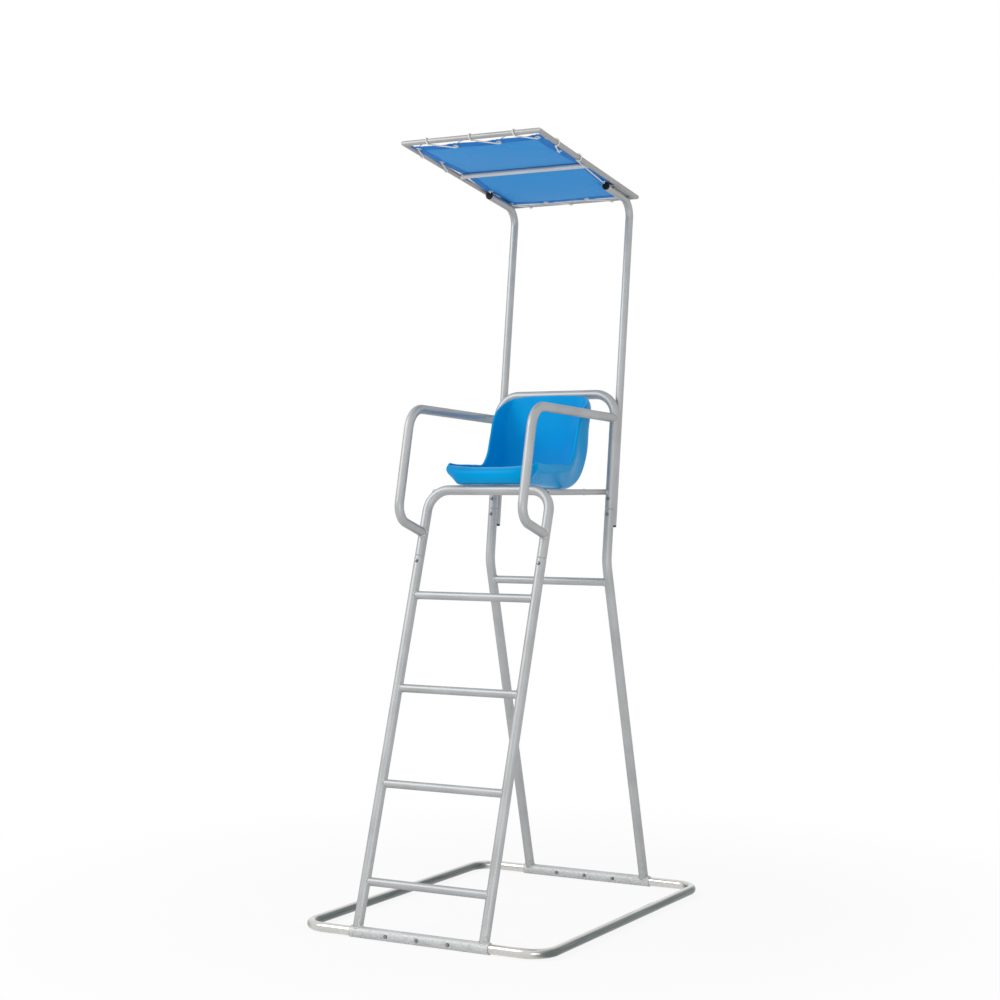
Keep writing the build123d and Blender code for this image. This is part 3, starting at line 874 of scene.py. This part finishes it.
def seat_mesh():
    """Closed moulded shell: face, underside, rolled rim, front lip and top edge."""
    faces, unders, lip_turns = [], [], []
    for row in range(seat_rows + 1):
        pace = row / seat_rows
        share = pace - row_crowding * math.sin(math.tau * pace) / math.tau
        floor, rim, under = (smooth_line(line, share) for line in (face_line, rim_line, under_line))
        top_turn = corner_turn(rim[1] - rim_line[-1][1] + seat_top_radius, seat_top_radius)
        lip_turn = corner_turn(rim_line[0][0] + seat_lip_radius - rim[0], seat_lip_radius)
        lip_turns.append(lip_turn)
        half = seat_half - seat_lip_taper * (1 - min(share / lip_taper_end_share, 1))
        half -= seat_top_radius * (1 - math.cos(top_turn)) + seat_lip_radius * (1 - math.cos(lip_turn))
        inner_half = half - rim_wall * math.cos(top_turn) * math.cos(lip_turn)
        outer_rim = rim + rim_wall * np.array((math.sin(top_turn), -math.sin(lip_turn)))
        flange, face_bend, under_bend, face_share, under_share = (
            float(smooth_line(line, share)[0])
            for line in (flanges, face_bends, under_bends, face_half_shares, under_half_shares)
        )
        face_half = (half - rim_wall) * face_share
        crown = seat_crown * max(0.0, (share - crown_start_share) / (1 - crown_start_share)) ** 2
        face = trough(floor, rim, face_half, inner_half, flange * face_flange_share, face_bend)
        underside = trough(under, outer_rim, half * under_share, half, flange, under_bend)
        faces.append(mirrored(face, crown))
        unders.append(mirrored(underside, crown))
    lip_pushes = []
    for a, b in zip(faces[0], unders[0]):
        bulge = lip_bulge * min(1, (a - b).length / lip_full_height)
        sideways = lip_corner_turn * (abs(a.x) / faces[0][-1].x) ** lip_corner_power
        lip_pushes.append(Vector((math.copysign(sideways, a.x), sideways - 1, 0)) * bulge)
    lip = [rolled(a, b, push) for a, b, push in zip(faces[0], unders[0], lip_pushes)]
    top = [rolled(a, b, back_up * top_roll) for a, b in zip(faces[-1], unders[-1])]
    rings = Rings()
    rings.loft(faces, round_ring=False)
    rings.loft([list(reversed(row)) for row in unders], round_ring=False)
    rings.loft([[a, *roll, b] for a, roll, b in zip(faces[0], lip, unders[0])], round_ring=False)
    rings.loft([[b, *reversed(roll), a] for a, roll, b in zip(faces[-1], top, unders[-1])], round_ring=False)
    for end, flip in ((0, False), (-1, True)):
        edge = []
        for row, (face, under) in enumerate(zip(faces, unders)):
            along = faces[min(row + 1, seat_rows)][end] - faces[max(row - 1, 0)][end]
            lift = along.cross(face[end] - under[end]).normalized() * (1 if flip else -1)
            lip_share = (lip_turns[row] / (math.pi / 2)) ** 2
            push = (lift * rim_wall / 2).lerp(lip_pushes[end], lip_share)
            roll = top[end] if row == seat_rows else rolled(face[end], under[end], push)
            ring = [face[end], *roll, under[end]]
            edge.append(ring if flip else list(reversed(ring)))
        rings.loft(edge, round_ring=False)
    return rings


seat = seat_mesh().piece("moulded_seat", seat_blue, "blue_plastic", replaced=["seat_shell"], crease=None)
weld_seams = seat.modifiers.new("join_seams", "WELD")
weld_seams.merge_threshold = seam_gap
smoothing = seat.modifiers.new("soft_edges", "SUBSURF")
smoothing.levels = smoothing.render_levels = 1

# Shade cloth: one sheet over the middle bar, drawn in between its eyelets
cloth_reach = 0.007
cloth_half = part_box("shade_cloth")[1].x + cloth_reach
front_gap = 0.029
rear_gap = 0.024
cloth_front = front_gap - shade_length
cloth_rear = -rear_gap
cloth_scallop = 0.004
bays_across = 3
bays_along = 4
edge_drop = 0.002
panel_sag = 0.005
belly = 0.010
bar_rest = 0.0011
crest_rest = 0.0012
crest = shade_radius + crest_rest
bar_y = -shade_length / 2
arm_top = -0.0030
arm_zone = (0.205, -0.215)
pull_height = 0.0016
pull_folds = 7
pull_phase = 40
pull_reach = 0.055
pull_core = 0.014
pull_limit = 0.2
wave_height = 0.0022
wave_scale = (7, 5)
wave_seed = 3.1
wave_start = 6
scallop_power = 0.8
hole_radius = 0.0055
eyelet_inset = 0.020
cloth_across = 132
cloth_along = 192
cloth_thickness = 0.0009

# Corners in the order of the lacing, each the start of its edge, and the eyelets' shares along an edge
corner_spots = {
    "front": (-cloth_half, cloth_front),
    "right": (cloth_half, cloth_front),
    "rear": (cloth_half, cloth_rear),
    "left": (-cloth_half, cloth_rear),
}
corner_order = list(corner_spots.values())
shares_across, shares_along = (0.0, 1 / 3, 2 / 3), (0.0, 0.25, 0.75)


def inset_spot(x, y):
    """Eyelet place, set in from the edge or corner of the cloth."""
    if abs(abs(x) - cloth_half) < 1e-6:
        x -= math.copysign(eyelet_inset, x)
    if y in (cloth_front, cloth_rear):
        y += eyelet_inset if y == cloth_front else -eyelet_inset
    return x, y


eyelets = []
for (edge, (x, y)), (end_x, end_y) in zip(corner_spots.items(), corner_order[1:] + corner_order[:1]):
    for share in shares_across if y == end_y else shares_along:
        eyelets.append((edge, inset_spot(x + (end_x - x) * share, y + (end_y - y) * share)))


def drawn_in(share, bays):
    """How far an edge is drawn in between its laced points."""
    return cloth_scallop * math.sin(math.pi * ((share * bays) % 1.0)) ** scallop_power


def cloth_height(x, y):
    """Height of the cloth: panels that sag from the bar, a belly, and pulls at the eyelets."""
    t = min(1.0, abs(y - bar_y) / (shade_length / 2))
    z = crest + (-edge_drop - crest) * t - 4 * panel_sag * t * (1 - t)
    z -= belly * 4 * t * (1 - t) * max(0.0, 1 - (x / cloth_half) ** 2)
    for _, (ex, ey) in eyelets:
        d = math.hypot(x - ex, y - ey)
        if d < pull_limit:
            fold = math.cos(pull_folds * math.atan2(y - ey, x - ex) + ex * pull_phase)
            z += pull_height * fold * math.exp(-d / pull_reach) * (1 - math.exp(-d / pull_core))
    wave = noise.noise(Vector((x * wave_scale[0], y * wave_scale[1], wave_seed)))
    z += wave_height * wave * min(1.0, wave_start * t)
    if abs(x) > arm_zone[0] and y > arm_zone[1]:
        z = max(z, arm_top + cloth_thickness)
    bar_gap = abs(y - bar_y)
    if bar_gap < shade_radius:
        z = max(z, math.sqrt(shade_radius ** 2 - bar_gap ** 2) + bar_rest)
    return z


def cloth_spot(u, v):
    """Flat place on the cloth for shares across and along, with its edges drawn in."""
    half = cloth_half - drawn_in(v, bays_along)
    front = cloth_front + drawn_in((u + 1) / 2, bays_across)
    rear = cloth_rear - drawn_in((u + 1) / 2, bays_across)
    return u * half, front + (rear - front) * v


def cloth_point(u, v, lift=0.0):
    """Point on the cloth in the frame."""
    x, y = cloth_spot(u, v)
    return shade_point(x, y, cloth_height(x, y) + lift)


def flat_coordinates(made, spots):
    """Gives each corner of a mesh its flat place in metres."""
    layer = made.data.uv_layers.new(name="flat")
    for loop in made.data.loops:
        layer.data[loop.index].uv = spots[loop.vertex_index]


def thicken(made, thickness):
    """Gives a sheet its thickness on both sides."""
    solid = made.modifiers.new("thickness", "SOLIDIFY")
    solid.thickness = thickness
    solid.offset = 0
    return made


def shade_sheet():
    """The cloth itself, with its eyelet holes left open."""
    rings = Rings()
    spots = []
    rows = []
    for j in range(cloth_along + 1):
        row = []
        for i in range(cloth_across + 1):
            u, v = 2 * i / cloth_across - 1, j / cloth_along
            row.append(cloth_point(u, v))
            spots.append(cloth_spot(u, v))
        rows.append(row)
    rings.loft(rows, round_ring=False)
    holes = [Vector(spot) for _, spot in eyelets]
    kept = []
    for face in rings.faces:
        centre = sum((Vector(spots[k]) for k in face), Vector((0, 0))) / 4
        if all((centre - hole).length > hole_radius for hole in holes):
            kept.append(face)
    rings.faces = kept
    made = rings.piece("laced_shade", shade_blue, "blue_cloth", replaced=["shade_cloth"], crease=None)
    flat_coordinates(made, spots)
    return thicken(made, cloth_thickness)


hem_width = 0.032
hem_stand = 0.0011
hem_lap = 0.0002
hem_rows = 10
hem_edge_share = 0.25
hem_rise = 3
# Edges of the cloth: the place for a share along and a depth in metres, the edge's length,
# and the steps, stand and direction of its hem
cloth_length = cloth_rear - cloth_front
cloth_edges = (
    (lambda s, d: (2 * s - 1, d / cloth_length), 2 * cloth_half, 120, hem_stand, 1),
    (lambda s, d: (2 * s - 1, 1 - d / cloth_length), 2 * cloth_half, 120, hem_stand, -1),
    (lambda s, d: (1 - d / cloth_half, s), cloth_length, 170, hem_stand + hem_lap, 1),
    (lambda s, d: (d / cloth_half - 1, s), cloth_length, 170, hem_stand + hem_lap, -1),
)


def hem_row(rim, share, stand):
    """Places across a folded hem, with their lifts: over the cloth, round its edge and under it."""
    row = []
    for side in (1, -1):
        for k in range(hem_rows, -1, -1) if side > 0 else range(hem_rows + 1):
            inward = k / hem_rows
            lift = side * stand * min(1.0, hem_edge_share + hem_rise * inward)
            row.append((*rim(share, hem_width * inward), lift))
    return row


def shade_hem():
    """Doubled hem on all four edges, the side ones lapped over the others at the corners."""
    rings = Rings()
    spots = []
    for rim, _, steps, stand, run in cloth_edges:
        shares = [step / steps for step in range(steps + 1)][::run]
        rows = [hem_row(rim, share, stand) for share in shares]
        spots += [cloth_spot(u, v) for row in rows for u, v, _ in row]
        rings.loft([[cloth_point(*place) for place in row] for row in rows], caps=True)
    made = rings.piece("shade_hem", hem_blue, "blue_cloth", crease=None)
    flat_coordinates(made, spots)
    return made


stitch_pitch = 0.0055
stitch_length = 0.0036
stitch_radius = 0.00045
stitch_insets = (0.003, 0.009)
stitch_sink_share = 0.6
stitch_skip = 6
stitch_sides = 5
# Share of a stitch's length, and how plump it is there
stitch_form = ((0.0, 0.4), (0.25, 1.0), (0.75, 1.0), (1.0, 0.4))


def hem_stitches():
    """Two rows of thread that hold the hem down, seen from above and below."""
    rings = Rings()
    for rim, length, *_ in cloth_edges:
        count = int(length / stitch_pitch)
        for inset in stitch_insets:
            for k in range(stitch_skip, count - stitch_skip):
                first = rim(k / count, hem_width - inset)
                last = rim((k + stitch_length / stitch_pitch) / count, hem_width - inset)
                for side in (1, -1):
                    lift = side * (hem_stand + hem_lap + stitch_radius * stitch_sink_share)
                    stitch(rings, cloth_point(*first, lift), cloth_point(*last, lift))
    return rings.piece("hem_stitches", shade_blue, "blue_cloth", crease=None)


def stitch(rings, first, last):
    """Short plump stitch between two points."""
    along = last - first
    sideways = along.orthogonal().normalized()
    upright = along.normalized().cross(sideways)
    swept = []
    for share, plump in stitch_form:
        centre = first + along * share
        swept.append(ring_about(centre, sideways, upright, [stitch_radius * plump] * stitch_sides))
    rings.loft(swept, caps=True)


eyelet_inner = 0.0052
eyelet_outer = 0.0096
eyelet_crown = 0.0015
eyelet_steps = 8
eyelet_sides = 26
slope_step = 0.004


def eyelet_rings():
    """Pressed metal rings with a rolled barrel, on both faces of the hem."""
    rings = Rings()
    for _, (x, y) in eyelets:
        z = cloth_height(x, y)
        slope_x = (cloth_height(x + slope_step, y) - cloth_height(x - slope_step, y)) / (2 * slope_step)
        slope_y = (cloth_height(x, y + slope_step) - cloth_height(x, y - slope_step)) / (2 * slope_step)
        up = (shade_up - X_AXIS * slope_x - shade_rear * slope_y).normalized()
        place = placed(shade_point(x, y, z), up)
        arc = []
        for k in range(eyelet_steps + 1):
            angle = math.pi * k / eyelet_steps
            radius = eyelet_inner + (eyelet_outer - eyelet_inner) * (1 - math.cos(angle)) / 2
            arc.append((radius, hem_stand + eyelet_crown * math.sin(angle)))
        profile = [(radius, -height) for radius, height in arc] + list(reversed(arc))
        rings.turned(profile, place, count=eyelet_sides, caps=False, loop=True)
    return rings.piece("shade_eyelets", bright_eyelet, "shade_tube", crease=None)


cord_radius = 0.0023
cord_seat_share = 1.1
cord_wrap = shade_radius + cord_radius * cord_seat_share
cord_step = 0.0016
cord_twist = 0.011
cord_sides = 12
strand_count = 3
strand_depth = 0.14
eyelet_rise = 0.006
wrap_pitch = 0.014
wrap_steps = 8
wrap_angle = 120
first_wrap, second_wrap = cloth_front + 0.097, cloth_front + 0.264
# Where the cord goes round the bars: shares of the cloth's half width, or places along a side
wraps = {
    "front": [-2 / 3, 0.0, 2 / 3],
    "rear": [2 / 3, 0.0, -2 / 3],
    "right": [first_wrap, second_wrap, None],
    "left": [None, second_wrap, first_wrap],
}
# Where it goes on to the next eyelet without a turn
slack_drift = {"right": 0.05, "left": -0.02}
slack_inset_share = 0.995


def wrap_turn(edge, spot):
    """Turn of cord over, round and under a frame bar."""
    travel = 1 if edge in ("front", "right") else -1
    made = []
    for step in range(wrap_steps + 1):
        angle = math.radians(wrap_angle * (1 - 2 * step / wrap_steps))
        outward = cord_wrap * math.cos(angle)
        rise = cord_wrap * math.sin(angle)
        along = spot + travel * wrap_pitch * (step / wrap_steps - 0.5)
        if edge in ("front", "rear"):
            start = -shade_length if edge == "front" else 0.0
            made.append((along, start - travel * outward, rise))
        else:
            made.append((travel * (shade_half + outward), along, rise))
    return made


def lacing_points():
    """Route of the cord: up through each eyelet, over and round the bar, and under to the next."""
    route = []
    for edge in corner_spots:
        spots = [spot for laced_edge, spot in eyelets if laced_edge == edge]
        for (x, y), turn in zip(spots, wraps[edge]):
            z = cloth_height(x, y)
            route += [(x, y, z - eyelet_rise), (x, y, z), (x, y, z + eyelet_rise)]
            if turn is None:
                over_hem = z + hem_stand + cord_radius * 2
                route.append((x * slack_inset_share, y + slack_drift[edge], over_hem))
            else:
                route += wrap_turn(edge, turn * cloth_half if edge in ("front", "rear") else turn)
    return [shade_point(*p) for p in route]


def lacing():
    """Twisted three-strand cord along the lacing route."""
    points = [np.array(p) for p in lacing_points()]
    count = len(points)
    line = []
    for index in range(count):
        before, first = points[index - 1], points[index]
        last, after = points[(index + 1) % count], points[(index + 2) % count]
        steps = max(2, int(np.linalg.norm(last - first) / cord_step))
        for step in range(steps):
            line.append(Vector(curve_point(before, first, last, after, step / steps)))
    swept = []
    upright = Vector((0, 0, 1))
    travelled = 0.0
    for index, point in enumerate(line):
        along = (line[(index + 1) % len(line)] - line[index - 1]).normalized()
        upright = (upright - along * upright.dot(along)).normalized()
        sideways = along.cross(upright)
        travelled += (point - line[index - 1]).length if index else 0.0
        twist = math.tau * travelled / cord_twist
        lobes = [strand_depth * math.cos(strand_count * angle - twist) for angle in angles(cord_sides)]
        swept.append(ring_about(point, upright, sideways, [cord_radius * (1 + lobe) for lobe in lobes]))
    rings = Rings()
    rings.loft(swept, loop=True)
    return rings.piece("shade_lacing", white_cord, "blue_cloth", crease=None)


sheet = shade_sheet()
hem = shade_hem()
stitches = hem_stitches()
rings_on_hem = eyelet_rings()
lacing()


# Studio: pale floor, white surroundings, soft key from the left and a weak fill
def ray_share(tree):
    """1 for rays that see the surroundings directly, in a mirror or through glass."""
    path = add(tree, "ShaderNodeLightPath").outputs
    seen = math_node(tree, "ADD", path["Is Camera Ray"], path["Is Glossy Ray"])
    return math_node(tree, "MINIMUM", math_node(tree, "ADD", seen, path["Is Transmission Ray"]), 1.0)


ambient = 0.58
world = bpy.data.worlds.new("studio")
bpy.context.scene.world = world
world.use_nodes = True
tree = world.node_tree
background = tree.nodes["Background"]
background.inputs["Color"].default_value = (1, 1, 1, 1)
strength = add(tree, "ShaderNodeMapRange", {0: ray_share(tree), 3: ambient, 4: 1.0}).outputs[0]
feed(background, "Strength", strength)

floor_half = 14.0
floor_glow = 0.88
floor_near, floor_fade = 0.8, 2.6
floor_mesh = bpy.data.meshes.new("floor")
floor_mesh.from_pydata([(x, y, 0) for x, y in ((-1, -1), (1, -1), (1, 1), (-1, 1))], [], [(0, 1, 2, 3)])
floor_mesh.transform(Matrix.Scale(floor_half, 4))
floor = put("floor", floor_mesh)
floor_paint, tree, shader = new_finish("pale_floor", base_color=(0.9, 0.9, 0.9, 1), roughness=0.9)
glow = add(tree, "ShaderNodeEmission", {"Color": (1, 1, 1, 1), "Strength": 1.0})
point = coordinates(tree)
distance = add(tree, "ShaderNodeVectorMath", {0: point}, operation="LENGTH").outputs["Value"]
glow_share = spread(tree, distance, floor_near, floor_fade, floor_glow)
share = math_node(tree, "MULTIPLY", ray_share(tree), glow_share)
mixed = add(tree, "ShaderNodeMixShader", {0: share, 1: shader.outputs[0], 2: glow.outputs[0]})
feed(tree.nodes["Material Output"], "Surface", mixed.outputs[0])
floor_mesh.materials.append(floor_paint)

target = Vector((0, 0, 1.4))
lamp_size = 2.6
lamps = {"key": ((-3.2, -3.4, 4.4), 102), "fill": ((3.0, -4.2, 0.9), 46)}
for name, (place, power) in lamps.items():
    lamp = bpy.data.lights.new(name, "AREA")
    lamp.energy = power
    lamp.size = lamp_size
    lit = put(name, lamp)
    lit.location = place
    lit.rotation_euler = (target - Vector(place)).to_track_quat("-Z", "Y").to_euler()

# Camera: level, seen from the ladder side and a third of the way round to the right
camera_turn = math.radians(29.04)
image_size = 1000
focal_pixels = 1950
horizon_row = 486.4
camera_data = bpy.data.cameras.new("camera")
camera_data.sensor_width = 36.0
camera_data.lens = focal_pixels / image_size * camera_data.sensor_width
camera_data.shift_y = (horizon_row - image_size / 2) / image_size
camera = put("camera", camera_data)
camera.location = (3.276, -5.967, 1.479)
camera.rotation_euler = (math.pi / 2, 0, camera_turn)
bpy.context.scene.camera = camera
bpy.context.scene.view_settings.view_transform = "Standard"
